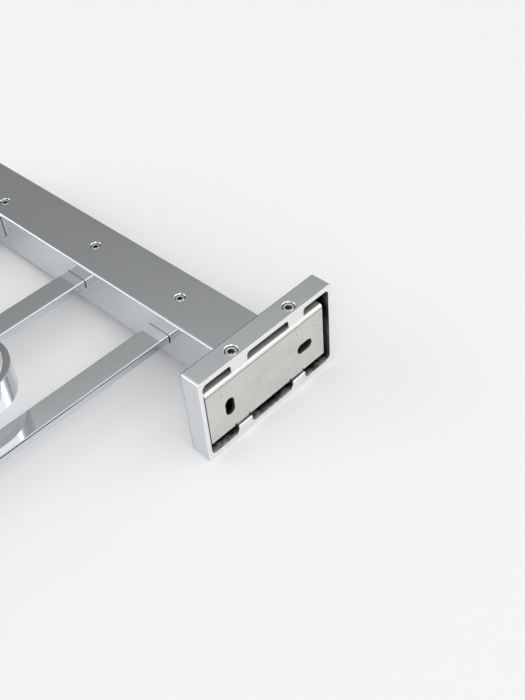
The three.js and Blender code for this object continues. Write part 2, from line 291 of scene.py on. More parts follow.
# ---- Materials -----------------------------------------------------------------------------------


class Recipe:
    """A material's node tree, with one short call for each node."""

    def __init__(self, name):
        self.material = bpy.data.materials.new(name)
        self.material.use_nodes = True
        self.tree = self.material.node_tree
        self.shader = self.tree.nodes["Principled BSDF"]
        self.place = self.tree.nodes.new("ShaderNodeTexCoord").outputs["Object"]

    def link(self, source, target):
        self.tree.links.new(source, target)

    def node(self, kind, settings=None, **inputs):
        made = self.tree.nodes.new(kind)
        for name, value in (settings or {}).items():
            setattr(made, name, value)
        for name, value in inputs.items():
            socket = made.inputs[name.replace("_", " ")]
            if isinstance(value, bpy.types.NodeSocket):
                self.link(value, socket)
            else:
                socket.default_value = value
        return made

    def stretched(self, scale, turn=(0.0, 0.0, 0.0)):
        mapping = self.node("ShaderNodeMapping", Vector=self.place, Scale=scale, Rotation=turn)
        return mapping.outputs["Vector"]

    def noise(self, vector, scale, detail=3.0, roughness=0.5):
        kind = "ShaderNodeTexNoise"
        made = self.node(kind, Vector=vector, Scale=scale, Detail=detail, Roughness=roughness)
        return made.outputs["Fac"]

    def specks(self, scale, size, share):
        """1 in small round spots, in about the given share of the cells of that scale, and 0 elsewhere."""
        cells = self.node("ShaderNodeTexVoronoi", Vector=self.place, Scale=scale)
        spot = self.remap(cells.outputs["Distance"], size, size * 0.5, 0.0, 1.0)
        parts = self.node("ShaderNodeSeparateColor", Color=cells.outputs["Color"])
        chosen = self.node("ShaderNodeMath", {"operation": "LESS_THAN"})
        self.link(parts.outputs["Red"], chosen.inputs[0])
        chosen.inputs[1].default_value = share
        return self.product(spot, chosen.outputs["Value"])

    def remap(self, value, low, high, new_low, new_high):
        made = self.node(
            "ShaderNodeMapRange",
            Value=value,
            From_Min=low,
            From_Max=high,
            To_Min=new_low,
            To_Max=new_high,
        )
        return made.outputs["Result"]

    def product(self, first, second):
        made = self.node("ShaderNodeMath", {"operation": "MULTIPLY"})
        self.link(first, made.inputs[0])
        self.link(second, made.inputs[1])
        return made.outputs["Value"]

    def total(self, first, second):
        made = self.node("ShaderNodeMath", {"operation": "ADD"})
        self.link(first, made.inputs[0])
        self.link(second, made.inputs[1])
        return made.outputs["Value"]

    def mix(self, factor, first, second):
        made = self.node("ShaderNodeMix", {"data_type": "RGBA"})
        self.link(factor, made.inputs["Factor"])
        for socket, colour in ((made.inputs[6], first), (made.inputs[7], second)):
            if isinstance(colour, bpy.types.NodeSocket):
                self.link(colour, socket)
            else:
                socket.default_value = (*colour, 1.0)
        return made.outputs[2]

    def bump(self, height, strength, distance, normal=None):
        made = self.node("ShaderNodeBump", Height=height, Strength=strength, Distance=distance)
        if normal is not None:
            self.link(normal, made.inputs["Normal"])
        return made.outputs["Normal"]

    def finish(self, colour, roughness, normal, metallic=1.0):
        self.link(colour, self.shader.inputs["Base Color"])
        self.link(roughness, self.shader.inputs["Roughness"])
        self.link(normal, self.shader.inputs["Normal"])
        self.shader.inputs["Metallic"].default_value = metallic
        return self.material


def chrome():
    """Bright chrome plate: a faint haze of fingermarks, hair scratches and the odd pit."""
    recipe = Recipe("chrome")
    haze = recipe.noise(recipe.place, 26.0, 6.0, 0.62)
    film = recipe.noise(recipe.place, 90.0, 4.0, 0.55)
    hairs = recipe.noise(recipe.stretched((40.0, 2600.0, 2600.0), (0.0, 0.2, 0.35)), 1.0, 2.0)
    cross_hairs = recipe.noise(recipe.stretched((2400.0, 50.0, 2400.0), (0.3, 0.0, -0.5)), 1.0, 2.0)
    pits = recipe.specks(420.0, 0.12, 0.05)
    roughness = recipe.remap(haze, 0.42, 0.72, 0.04, 0.09)
    roughness = recipe.total(roughness, recipe.remap(film, 0.5, 0.8, 0.0, 0.04))
    colour = recipe.mix(recipe.remap(haze, 0.35, 0.7, 0.0, 1.0), (0.675, 0.70, 0.715), (0.65, 0.675, 0.69))
    colour = recipe.mix(pits, colour, (0.40, 0.40, 0.39))
    scratches = recipe.total(
        recipe.remap(hairs, 0.68, 0.8, 0.0, -1.0), recipe.remap(cross_hairs, 0.7, 0.82, 0.0, -1.0)
    )
    normal = recipe.bump(recipe.noise(recipe.place, 55.0, 2.0), 0.02, 0.0002)
    normal = recipe.bump(scratches, 0.03, 0.00002, normal)
    return recipe.finish(colour, roughness, normal)


def satin_chrome():
    """The wall flange's chrome: the same plate on a less polished casting, so a little softer and paler."""
    recipe = Recipe("satin_chrome")
    haze = recipe.noise(recipe.place, 30.0, 5.0, 0.6)
    film = recipe.noise(recipe.place, 110.0, 4.0, 0.55)
    pits = recipe.specks(420.0, 0.1, 0.05)
    roughness = recipe.remap(haze, 0.4, 0.72, 0.22, 0.29)
    roughness = recipe.total(roughness, recipe.remap(film, 0.5, 0.8, 0.0, 0.04))
    colour = recipe.mix(recipe.remap(haze, 0.35, 0.7, 0.0, 1.0), (0.725, 0.75, 0.765), (0.70, 0.725, 0.74))
    colour = recipe.mix(pits, colour, (0.42, 0.42, 0.41))
    normal = recipe.bump(film, 0.03, 0.0002)
    return recipe.finish(colour, roughness, normal)


def strip_top_shade():
    """The bent strip's upward edge: chrome darkened with painted shade, so darker than its flat faces."""
    recipe = Recipe("strip_top_shade")
    grain = recipe.noise(recipe.place, 700.0, 4.0, 0.6)
    haze = recipe.noise(recipe.place, 40.0, 4.0, 0.6)
    colour = recipe.mix(recipe.remap(haze, 0.35, 0.7, 0.0, 1.0), (0.50, 0.505, 0.515), (0.45, 0.455, 0.465))
    roughness = recipe.remap(grain, 0.35, 0.7, 0.10, 0.17)
    normal = recipe.bump(grain, 0.05, 0.00003)
    return recipe.finish(colour, roughness, normal)


def pale_lit_chrome():
    """A paler, softer copy of the flange's chrome: painted light on the back face and under the pocket's
    upper rim, painted highlights on the lugs' edges.
    """
    recipe = Recipe("pale_lit_chrome")
    clouds = recipe.noise(recipe.place, 60.0, 4.0, 0.6)
    grain = recipe.noise(recipe.stretched((300.0, 4000.0, 4000.0)), 1.0, 3.0, 0.6)
    colour = recipe.mix(recipe.remap(clouds, 0.35, 0.7, 0.0, 1.0), (0.90, 0.905, 0.91), (0.86, 0.865, 0.87))
    roughness = recipe.remap(clouds, 0.3, 0.7, 0.26, 0.36)
    normal = recipe.bump(grain, 0.06, 0.00004)
    return recipe.finish(colour, roughness, normal)


def shaded_recess(name, mouth_colour, metallic):
    """The flange's cast pocket: a lumpy skin, with painted shade that darkens it to near black away from its
    mouth, the lumps breaking the shade's edge into pale patches.
    """
    recipe = Recipe(name)
    lumps = recipe.noise(recipe.place, 420.0, 5.0, 0.65)
    clouds = recipe.noise(recipe.place, 130.0, 3.0, 0.6)
    parts = recipe.node("ShaderNodeSeparateXYZ", Vector=recipe.place)
    depth = recipe.total(parts.outputs["Y"], recipe.remap(clouds, 0.35, 0.65, -0.0012, 0.0012))
    depth = recipe.total(depth, recipe.remap(lumps, 0.35, 0.65, -0.0005, 0.0005))
    mottle = recipe.remap(clouds, 0.4, 0.65, 0.0, 1.0)
    deep_shade = recipe.mix(mottle, (0.002, 0.002, 0.002), (0.009, 0.009, 0.008))
    out_of_shade = recipe.remap(depth, -0.0052, 0.0006, 0.0, 1.0)
    colour = recipe.mix(recipe.product(out_of_shade, out_of_shade), deep_shade, mouth_colour)
    roughness = recipe.remap(lumps, 0.35, 0.7, 0.25, 0.5)
    normal = recipe.bump(lumps, 0.6, 0.0006)
    recipe.shader.inputs["Specular IOR Level"].default_value = 0.1
    return recipe.finish(colour, roughness, normal, metallic)


def arris_shade_line():
    """The rear bar's arris on the wall's side: a painted shade line, a dark reflection painted into the
    plating, paler towards the beams.
    """
    recipe = Recipe("arris_shade_line")
    parts = recipe.node("ShaderNodeSeparateXYZ", Vector=recipe.place)
    across = recipe.node("ShaderNodeMath", {"operation": "ABSOLUTE"})
    recipe.link(parts.outputs["X"], across.inputs[0])
    waver = recipe.noise(recipe.place, 60.0, 3.0)
    fading = recipe.total(across.outputs["Value"], recipe.remap(waver, 0.3, 0.7, -0.012, 0.012))
    shade_fade = recipe.remap(fading, 0.150, 0.225, 0.0, 1.0)
    colour = recipe.mix(shade_fade, (0.02, 0.02, 0.022), (0.30, 0.31, 0.32))
    roughness = recipe.remap(waver, 0.3, 0.7, 0.10, 0.18)
    normal = recipe.bump(waver, 0.02, 0.0002)
    return recipe.finish(colour, roughness, normal)


def bare_metal_and_shade():
    """Unplated metal inside the tubes: dull, dark and stained; the same dark colour is painted shade in
    joints and on the wall plate's back.
    """
    recipe = Recipe("bare_metal_and_shade")
    stain = recipe.noise(recipe.place, 160.0, 5.0, 0.6)
    colour = recipe.mix(recipe.remap(stain, 0.35, 0.7, 0.0, 1.0), (0.10, 0.095, 0.09), (0.045, 0.04, 0.038))
    roughness = recipe.remap(stain, 0.3, 0.7, 0.5, 0.7)
    normal = recipe.bump(stain, 0.1, 0.0002)
    return recipe.finish(colour, roughness, normal)


def bend_highlight():
    """The stainless sheet's bend: a painted highlight in pale metal, fading into painted shade towards the
    lip's end.
    """
    recipe = Recipe("bend_highlight")
    streaks = recipe.noise(recipe.stretched((120.0, 2600.0, 2600.0)), 1.0, 3.0, 0.6)
    clouds = recipe.noise(recipe.place, 90.0, 4.0, 0.6)
    rubbed = recipe.remap(clouds, 0.35, 0.7, 0.0, 1.0)
    highlight_colour = recipe.mix(rubbed, (0.90, 0.895, 0.87), (0.84, 0.835, 0.80))
    parts = recipe.node("ShaderNodeSeparateXYZ", Vector=recipe.place)
    shine = recipe.remap(parts.outputs["Y"], -0.0048, -0.0012, 0.0, 1.0)
    colour = recipe.mix(shine, (0.10, 0.10, 0.095), highlight_colour)
    roughness = recipe.remap(streaks, 0.35, 0.7, 0.18, 0.28)
    normal = recipe.bump(streaks, 0.03, 0.00004)
    return recipe.finish(colour, roughness, normal, metallic=0.6)


def socket_shade():
    """The inside of a screw's hexagon socket: painted shade, near black with a faint film."""
    recipe = Recipe("socket_shade")
    film = recipe.noise(recipe.place, 1500.0, 4.0, 0.6)
    colour = recipe.mix(recipe.remap(film, 0.4, 0.65, 0.0, 1.0), (0.10, 0.10, 0.10), (0.28, 0.275, 0.265))
    roughness = recipe.remap(film, 0.35, 0.7, 0.3, 0.55)
    normal = recipe.bump(film, 0.3, 0.00004)
    return recipe.finish(colour, roughness, normal)


def stainless_plate():
    """Rolled stainless sheet: mottled grey, fine grain along the sheet, dark specks and small dents."""
    recipe = Recipe("stainless_plate")
    clouds = recipe.noise(recipe.place, 70.0, 5.0, 0.6)
    blotches = recipe.noise(recipe.place, 210.0, 4.0, 0.6)
    grain = recipe.noise(recipe.stretched((500.0, 3200.0, 3200.0)), 1.0, 3.0, 0.6)
    specks = recipe.specks(170.0, 0.075, 0.8)
    colour = recipe.mix(recipe.remap(clouds, 0.35, 0.68, 0.0, 1.0), (0.70, 0.69, 0.66), (0.62, 0.61, 0.575))
    colour = recipe.mix(recipe.remap(blotches, 0.62, 0.78, 0.0, 0.5), colour, (0.50, 0.495, 0.47))
    colour = recipe.mix(specks, colour, (0.10, 0.095, 0.085))
    roughness = recipe.remap(blotches, 0.3, 0.75, 0.26, 0.44)
    roughness = recipe.total(roughness, recipe.remap(grain, 0.35, 0.7, -0.04, 0.05))
    normal = recipe.bump(clouds, 0.12, 0.0004)
    normal = recipe.bump(grain, 0.12, 0.00005, normal)
    normal = recipe.bump(specks, -0.5, 0.0001, normal)
    return recipe.finish(colour, roughness, normal)


def screw_steel():
    """Nickelled screw steel: tool marks, slightly darker worn patches."""
    recipe = Recipe("screw_steel")
    wear = recipe.noise(recipe.place, 900.0, 4.0, 0.6)
    marks = recipe.noise(recipe.stretched((5200.0, 900.0, 5200.0), (0.0, 0.4, 0.6)), 1.0, 2.0)
    colour = recipe.mix(recipe.remap(wear, 0.4, 0.7, 0.0, 1.0), (0.76, 0.755, 0.74), (0.60, 0.595, 0.58))
    roughness = recipe.remap(wear, 0.35, 0.7, 0.12, 0.3)
    normal = recipe.bump(marks, 0.15, 0.00003)
    return recipe.finish(colour, roughness, normal)


def plain_brass():
    """Sawn brass bar: saw lines across it, and a dull brown bloom."""
    recipe = Recipe("plain_brass")
    bloom = recipe.noise(recipe.place, 120.0, 5.0, 0.6)
    saw = recipe.noise(recipe.stretched((200.0, 200.0, 2600.0), (0.1, 0.0, 0.0)), 1.0, 2.0)
    colour = recipe.mix(recipe.remap(bloom, 0.35, 0.7, 0.0, 1.0), (0.70, 0.50, 0.22), (0.46, 0.31, 0.13))
    roughness = recipe.remap(bloom, 0.3, 0.7, 0.28, 0.5)
    normal = recipe.bump(saw, 0.25, 0.0001)
    return recipe.finish(colour, roughness, normal)


CHROME = chrome()
SATIN_CHROME = satin_chrome()
STRIP_TOP_SHADE = strip_top_shade()
PALE_LIT_CHROME = pale_lit_chrome()
SHADED_CAST_WALL = shaded_recess("shaded_cast_wall", (0.20, 0.20, 0.20), 0.3)
SHADED_CAST_SILL = shaded_recess("shaded_cast_sill", (0.80, 0.79, 0.78), 0.35)
ARRIS_SHADE_LINE = arris_shade_line()
BARE_METAL_AND_SHADE = bare_metal_and_shade()
STAINLESS = stainless_plate()
BEND_HIGHLIGHT = bend_highlight()
STEEL = screw_steel()
SOCKET_SHADE = socket_shade()
BRASS = plain_brass()


def stand_in(node, mesh, *materials):
    """Turns a millimetre mesh into the shown piece for a CAD node, on that node's body."""
    bmesh.ops.scale(mesh, vec=(MM, MM, MM), verts=mesh.verts)
    data = bpy.data.meshes.new(node + "_finished")
    mesh.to_mesh(data)
    mesh.free()
    data.shade_smooth()
    data.set_sharp_from_angle(angle=SHARP_ANGLE)
    for material in materials:
        data.materials.append(material)
    piece = bpy.data.objects.new(node + "_finished", data)
    bpy.context.scene.collection.objects.link(piece)
    normals = piece.modifiers.new("even faces", "WEIGHTED_NORMAL")
    normals.keep_sharp = True
    normals.weight = 100
    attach(piece, body_of_node[node])
    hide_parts(node)
    return piece


# Where each further material stands in the lists that rack_end gives: the flange's, then the plate's.
LIT_PAINT, RECESS, SILL, SEAM_SHADE = 1, 2, 3, 4
HIGHLIGHT_PAINT, SHADE_PAINT = 1, 2


def paint(mesh, index, chosen):
    """Gives the piece's material of that index to the faces chosen by their middle and normal."""
    for face in mesh.faces:
        if chosen(face.calc_center_median(), face.normal):
            face.material_index = index


# ---- Screws --------------------------------------------------------------------------------------


def thread_radius(size, height, turn):
    """Radius of the threaded shank at a height and an angle: a sharp vee with a flat crest."""
    phase = (height / size["pitch"] - turn / math.tau) % 1.0
    depth = THREAD_DEPTH * size["pitch"]
    ridge = min(1.0, THREAD_CREST * abs(2 * phase - 1))
    return size["radius"] - depth * (1 - ridge)


def threaded_rod(axis, a, b, low, high, size, chamfer=0.6, steps=ROUND_STEPS):
    """A threaded rod with chamfered ends."""
    place = PLACE[axis]
    rows = math.ceil((high - low) / size["pitch"] * ROWS_PER_TURN)
    loops = []
    for row in range(rows + 1):
        height = low + (high - low) * row / rows
        limit = size["radius"] - max(0.0, chamfer - min(height - low, high - height))
        loop = []
        for step in range(steps):
            turn = math.tau * step / steps
            radius = min(limit, thread_radius(size, height, turn))
            loop.append(place(a + radius * math.cos(turn), b + radius * math.sin(turn), height))
        loops.append(loop)
    return loft(loops)


def hex_socket(axis, a, b, mouth, inward, size):
    """Tool that cuts a hexagon socket with a drilled cone at its end."""
    across = size["key"] / math.sqrt(3)
    floor = mouth + inward * size["socket"]
    tip = floor + inward * size["key"] * DRILL_POINT
    profile = [(across, mouth - inward), (across, floor), (0.05, tip)]
    return turned(axis, a, b, profile, steps=6)


def headless_screw(node, size):
    """A headless screw with chamfered ends, standing upright; its socket opens upwards."""
    low, high = node_box(node)
    x, y, _ = (low + high) / 2
    rod = threaded_rod("Z", x, y, low.z, high.z, size, chamfer=SCREW_CHAMFER)
    dish = turned("Z", x, y, [(size["key"] * 0.5, high.z - 0.25), (size["key"] * 0.72, high.z + 0.1)])
    screw = cut(rod, hex_socket("Z", x, y, high.z, -1, size), dish)

    def in_socket(spot, normal):
        inside = math.hypot(spot.x - x, spot.y - y) < size["key"] * SOCKET_RADIUS
        return inside and spot.z < high.z - 0.3 and normal.z < 0.5

    # painted shade on the socket's walls
    paint(screw, 1, in_socket)
    return screw


def flange_bolt(node):
    """A low-head socket bolt along Y, with its head at the back."""
    low, high = node_box(node)
    x, _, z = (low + high) / 2
    head_low = high.y - BOLT["head"]
    head = turned(
        "Y",
        x,
        z,
        [
            (BOLT["head_radius"] - HEAD_FOOT_EDGE, head_low),
            (BOLT["head_radius"], head_low + HEAD_FOOT_EDGE),
            (BOLT["head_radius"], high.y - HEAD_EDGE),
            (BOLT["head_radius"] - HEAD_EDGE_MIDDLE, high.y - HEAD_EDGE_MIDDLE),
            (BOLT["head_radius"] - HEAD_EDGE, high.y),
        ],
    )
    shank = threaded_rod("Y", x, z, low.y, head_low + 0.3, BOLT)
    bolt = cut(joined(head, shank), hex_socket("Y", x, z, high.y, -1, BOLT))

    def in_socket(spot, _):
        return spot.y > head_low and math.hypot(spot.x - x, spot.z - z) < BOLT["key"] * SOCKET_RADIUS

    # painted shade in the socket
    paint(bolt, 1, in_socket)
    return bolt


def screw_hole(x, y, top, depth, radius):
    """Tool for a countersunk screw hole running down from the given height."""
    mouth = radius + COUNTERSINK
    profile = [(radius, top - depth), (radius, top - COUNTERSINK), (mouth, top), (mouth, top + REACH)]
    return turned("Z", x, y, profile)


# ---- Wall flange ---------------------------------------------------------------------------------


def pocket_corners(low, high):
    """The pocket's outline, about the flange's middle, with two bosses standing into its upper edge."""
    right = (high.x - low.x) / 2 - FLANGE_SIDE_RIM
    top = high.z - FLANGE_RIM
    bottom = low.z + FLANGE_RIM
    boss_end = top - BOSS_REACH
    low_corner, high_corner = POCKET_LOW_CORNER, POCKET_HIGH_CORNER
    corners = [(-right, bottom, low_corner), (right, bottom, low_corner), (right, top, high_corner)]
    for middle in (SCREW_PITCH / 2, -SCREW_PITCH / 2):
        outer = middle + BOSS_WIDTH / 2
        inner = middle - BOSS_WIDTH / 2
        corners += [(outer, top, BOSS_ROOT), (outer, boss_end, BOSS_CORNER)]
        corners += [(inner, boss_end, BOSS_CORNER), (inner, top, BOSS_ROOT)]
    corners.append((-right, top, high_corner))
    return corners


def lug_corners(middle, root):
    """A lug standing up from the lower rim, with flared feet."""
    base = LUG_BASE_WIDTH / 2
    tip = LUG_TOP_WIDTH / 2
    return [
        (middle - base, root - LUG_ROOT, 0.0),
        (middle + base, root - LUG_ROOT, 0.0),
        (middle + base, root + 0.1, 0.3),
        (middle + tip, root + LUG_FOOT, LUG_FLARE),
        (middle + tip, root + LUG_REACH, LUG_CORNER),
        (middle - tip, root + LUG_REACH, LUG_CORNER),
        (middle - tip, root + LUG_FOOT, LUG_FLARE),
        (middle - base, root + 0.1, 0.3),
    ]


def pocket_tool(middle, low, high):
    """Tool for the flange's pocket, which rounds over the inner edge of the rim at its mouth."""
    corners = [(middle + a, b, radius) for a, b, radius in pocket_corners(low, high)]
    levels = [(inset, rise - POCKET_DEPTH) for inset, rise in quarter_round(POCKET_FLOOR_RADIUS)]
    levels += [(-inset, high.y - rise) for inset, rise in reversed(quarter_round(RIM_INNER_EDGE))]
    levels.append((-RIM_INNER_EDGE, high.y + REACH))
    return swept("Y", corners, levels)


def bolt_hole(bolt, front):
    """Tool for a flange bolt's hole and the seat for its head in the pocket's floor."""
    seat = BOLT["head_radius"] + HOLE_CLEARANCE
    bore = BOLT["radius"] + HOLE_CLEARANCE
    floor_y = -POCKET_DEPTH
    seat_y = floor_y - BOLT["head"]
    profile = [(bore, front - 1), (bore, seat_y), (seat, seat_y), (seat, floor_y + 0.5)]
    return turned("Y", bolt.x, bolt.z, profile)


def wall_flange(name):
    low, high = node_box("wall_flange_" + name)
    middle = (low.x + high.x) / 2
    outline = rectangle((low.x, low.z), (high.x, high.z), FLANGE_CORNER)
    body = prism("Y", outline, low.y, high.y, FLANGE_FRONT_EDGE, RIM_EDGE)
    body = cut(body, pocket_tool(middle, low, high))
    root = low.z + FLANGE_RIM
    lugs = [
        prism("Y", lug_corners(middle + a, root), -LUG_THICKNESS, high.y, 0.3, LUG_EDGE)
        for a in (-SCREW_PITCH / 2, SCREW_PITCH / 2)
    ]
    body = joined(body, *lugs)
    holes = []
    for place in ("inner", "outer"):
        screw = middle_of(f"set_screw_{name}_{place}")
        bore = SET_SCREW["radius"] + HOLE_CLEARANCE
        holes.append(screw_hole(screw.x, screw.y, high.z, SET_SCREW_HOLE, bore))
        holes.append(bolt_hole(middle_of(f"flange_bolt_{name}_{place}"), low.y))
    flange = cut(body, *holes)

    def in_pocket(spot, _):
        across = abs(spot.x - middle) < (high.x - low.x) / 2 - FLANGE_SIDE_RIM + 0.05
        upright = abs(spot.z) < high.z - FLANGE_RIM + 0.05
        return across and upright and low.y + 1 < spot.y < high.y - RIM_INNER_EDGE

    def in_lug_edge(spot):
        return abs(spot.z) < high.z - FLANGE_RIM and spot.y > high.y - LUG_EDGE

    # painted shade in the pocket: its walls and sill darken to near black away from the mouth
    paint(flange, RECESS, in_pocket)
    paint(flange, SILL, lambda spot, normal: in_pocket(spot, normal) and normal.z > 0.8)
    # painted light under the pocket's upper rim and on the back face, painted highlights on the lugs' edges
    paint(flange, LIT_PAINT, lambda spot, normal: in_pocket(spot, normal) and normal.z < -0.7)
    paint(flange, LIT_PAINT, lambda spot, normal: spot.y > high.y - 0.01 and normal.y > 0.99)
    paint(flange, LIT_PAINT, lambda spot, normal: in_lug_edge(spot) and normal.y > 0.1)
    # painted shade along the flange's front edge, in its joint with the beam
    paint(flange, SEAM_SHADE, lambda spot, normal: spot.y < low.y + FLANGE_FRONT_EDGE and normal.y > -0.99)
    return flange


# ---- Wall plate ----------------------------------------------------------------------------------


def plate_section(low, high):
    """Section of the pressed sheet in Y and Z: a flat face with a lip bent forwards along its top."""
    back = high.y
    front = back - PLATE_THICKNESS
    under = high.z - PLATE_THICKNESS
    inner = PLATE_BEND - PLATE_THICKNESS
    return [
        (front, PLATE_BOTTOM, PLATE_EDGE),
        (back, PLATE_BOTTOM, PLATE_EDGE),
        (back, high.z - PLATE_BEND - PLATE_CREASE, 0.0),
        (back, high.z, PLATE_BEND),
        (low.y, high.z, PLATE_EDGE),
        (low.y, under, PLATE_EDGE),
        (front, under, inner),
    ]


def tab_section(back, low_z):
    """Section of a tab pressed forwards out of the sheet's plane and down."""
    set_back = back - TAB_JOGGLE
    thick = PLATE_THICKNESS
    return [
        (back - thick, PLATE_BOTTOM + 2, 0.0),
        (back - thick, PLATE_BOTTOM + 0.7, 0.6),
        (set_back - thick, PLATE_BOTTOM - TAB_SLOPE + 0.7, 1.2),
        (set_back - thick, low_z, PLATE_EDGE),
        (set_back, low_z, PLATE_EDGE),
        (set_back, PLATE_BOTTOM - TAB_SLOPE, 0.6),
        (back, PLATE_BOTTOM, TAB_BEND),
        (back, PLATE_BOTTOM + 2, 0.0),
    ]


def wall_plate(name):
    low, high = node_box("wall_plate_" + name)
    middle = (low.x + high.x) / 2
    plate = prism("X", plate_section(low, high), low.x, high.x, PLATE_EDGE, PLATE_EDGE)
    tabs = []
    notches = []
    for a in (-SCREW_PITCH / 2, SCREW_PITCH / 2):
        x = middle + a
        section = tab_section(high.y, low.z)
        tabs.append(prism("X", section, x - TAB_WIDTH / 2, x + TAB_WIDTH / 2, PLATE_EDGE, PLATE_EDGE))
        for end in (-1, 1):
            edge = x + end * (TAB_WIDTH + NOTCH_WIDTH) / 2
            notch_low = (edge - NOTCH_WIDTH / 2, PLATE_BOTTOM - REACH)
            notch_high = (edge + NOTCH_WIDTH / 2, PLATE_BOTTOM + NOTCH_HEIGHT)
            corners = rectangle(notch_low, notch_high, 0.4)
            notches.append(prism("Y", corners, high.y - 2 * PLATE_THICKNESS, REACH))
    plate = joined(cut(plate, *notches), *tabs)
    slots = []
    for a, length, width in (
        (-SLOT_PITCH / 2, SLOT_LENGTH, SLOT_WIDTH),
        (SLOT_PITCH / 2, SLOT_WIDTH, SLOT_LENGTH),
    ):
        slot_low = (middle + a - length / 2, SLOT_Z - width / 2)
        slot_high = (middle + a + length / 2, SLOT_Z + width / 2)
        corners = rectangle(slot_low, slot_high, SLOT_WIDTH / 2 - 0.01)
        slots.append(prism("Y", corners, high.y - 2 * PLATE_THICKNESS, REACH))
    plate = cut(plate, *slots)
    bend_start = high.z - PLATE_BEND
    # painted highlight on the bend along the plate's top
    paint(plate, HIGHLIGHT_PAINT, lambda spot, normal: spot.z > bend_start and (normal.z > 0 or normal.y > 0))
    crease = bend_start - PLATE_CREASE
    # painted shade: a dark line along the crease, and the sheet's back darkened inside the pocket
    paint(plate, SHADE_PAINT, lambda spot, normal: normal.y > 0.9 and crease < spot.z < bend_start)
    paint(plate, SHADE_PAINT, lambda spot, normal: normal.y < -0.9)
    # painted highlight on the first facets of each tab's bend
    paint(plate, HIGHLIGHT_PAINT, lambda spot, normal: spot.z < PLATE_BOTTOM + 2 and 0.05 < -normal.z < 0.3)
    # painted shade on the rest of each tab's bend
    paint(plate, SHADE_PAINT, lambda spot, normal: spot.z < PLATE_BOTTOM + 2 and 0.3 < -normal.z < 0.9)
    return plate


# ---- Side beam, end cap and blocks ---------------------------------------------------------------


def side_beam(name):
    low, high = node_box("side_beam_" + name)
    side = SIDES[name]
    beam = prism("Y", rectangle((low.x, low.z), (high.x, high.z), BEAM_EDGE), low.y, high.y, 0.15, 0.15)
    inner_low = (low.x + BEAM_WALL, low.z + BEAM_WALL)
    inner_high = (high.x - BEAM_WALL, high.z - BEAM_WALL)
    tools = [prism("Y", rectangle(inner_low, inner_high), low.y - REACH, high.y + REACH)]
    inner_face = low.x if side > 0 else high.x
    for bar in ("rear_shelf_bar", "middle_shelf_bar", "front_rail"):
        bar_low, bar_high = node_box(bar)
        slot_low = (inner_face - REACH, bar_low.y - GAP, bar_low.z - GAP)
        slot_high = (inner_face + REACH, bar_high.y + SLOT_PLAY, bar_high.z + GAP)
        tools.append(box(slot_low, slot_high, SLOT_CORNER))
    for bar in ("rear", "middle", "rail"):
        screw = middle_of(f"{bar}_grub_screw_{name}")
        bore = GRUB_SCREW["radius"] + HOLE_CLEARANCE
        tools.append(screw_hole(screw.x, screw.y, high.z, GRUB_SCREW_HOLE, bore))
    beam = cut(beam, *tools)
    skin = 0.4

    def inside(spot, _):
        return low.x + skin < spot.x < high.x - skin and low.z + skin < spot.z < high.z - skin

    # dark bare metal inside the beam, which is also painted shade on the slot walls where the bars meet it;
    # the end faces get painted shade for their joints
    paint(beam, 1, inside)
    paint(beam, 1, lambda _, normal: abs(normal.y) > 0.9)
    return beam


def front_rail_top():
    return node_box("front_rail")[1].z


def beam_end_cap(name):
    low, high = node_box("beam_end_cap_" + name)
    back = low.y + CAP_THICKNESS
    plate = prism("Y", rectangle((low.x, low.z), (high.x, high.z), EDGE), low.y, back, EDGE, 0.15)
    wall = BEAM_WALL + GAP
    outline = rectangle((low.x + wall, low.z + wall), (high.x - wall, high.z - wall), 0.6)
    spigot = prism("Y", outline, back - 1, high.y, 0.0, 0.6)
    return joined(plate, spigot)


def beam_anchor_block(name):
    low, high = node_box("beam_anchor_block_" + name)
    outline = rectangle((low.x, low.z), (high.x, high.z), FINE_EDGE)
    block = prism("Y", outline, low.y, high.y, FINE_EDGE, FINE_EDGE)
    holes = []
    for place in ("inner", "outer"):
        bolt = middle_of(f"flange_bolt_{name}_{place}")
        bore = BOLT["radius"] + HOLE_CLEARANCE
        holes.append(turned("Y", bolt.x, bolt.z, [(bore, low.y - 1), (bore, high.y + 1)]))
    return cut(block, *holes)


def bar_socket(name, bar):
    low, high = node_box(f"{bar}_bar_socket_{name}")
    bar_low, bar_high = node_box(f"{bar}_shelf_bar")
    side = SIDES[name]
    bar_end = side * bar_high.x
    inner_face = low.x if side > 0 else high.x
    mouth_low = min(inner_face - side * 1, bar_end + side * GAP)
    mouth_high = max(inner_face - side * 1, bar_end + side * GAP)
    block = box(low, high, FINE_EDGE)
    mouth = box(
        (mouth_low, bar_low.y - GAP, bar_low.z - GAP),
        (mouth_high, bar_high.y + GAP, bar_high.z + GAP),
    )
    screw = middle_of(f"{bar}_grub_screw_{name}")
    bore = GRUB_SCREW["radius"] + HOLE_CLEARANCE
    return cut(block, mouth, turned("Z", screw.x, screw.y, [(bore, 0.0), (bore, high.z + 1)]))


# ---- Bars and rails ------------------------------------------------------------------------------


def flat_bar(node):
    low, high = node_box(node)
    return prism("X", rectangle((low.y, low.z), (high.y, high.z), EDGE), low.x, high.x, 0.3, 0.3)


def rear_shelf_bar():
    """The rear bar, with a painted shade line, a dark reflection painted along its upper arris on the wall's
    side.
    """
    high = node_box("rear_shelf_bar")[1]
    bar = flat_bar("rear_shelf_bar")

    def on_arris(spot, normal):
        return spot.y > high.y - EDGE and spot.z > 0 and 0.1 < normal.z < 0.7

    # painted shade: the arris facets get the dark painted reflection line
    paint(bar, 1, on_arris)
    return bar


def strip_slot(side, y, bottom, top):
    """Tool for the slot that a tab of the bent rail stands in."""
    x = side * (node_box("towel_rail")[1].x - STRIP_THICKNESS / 2)
    half = STRIP_THICKNESS / 2 + GAP
    length = STRIP_TAB_LENGTH / 2 + GAP
    return box((x - half, y - length, bottom), (x + half, y + length, top))


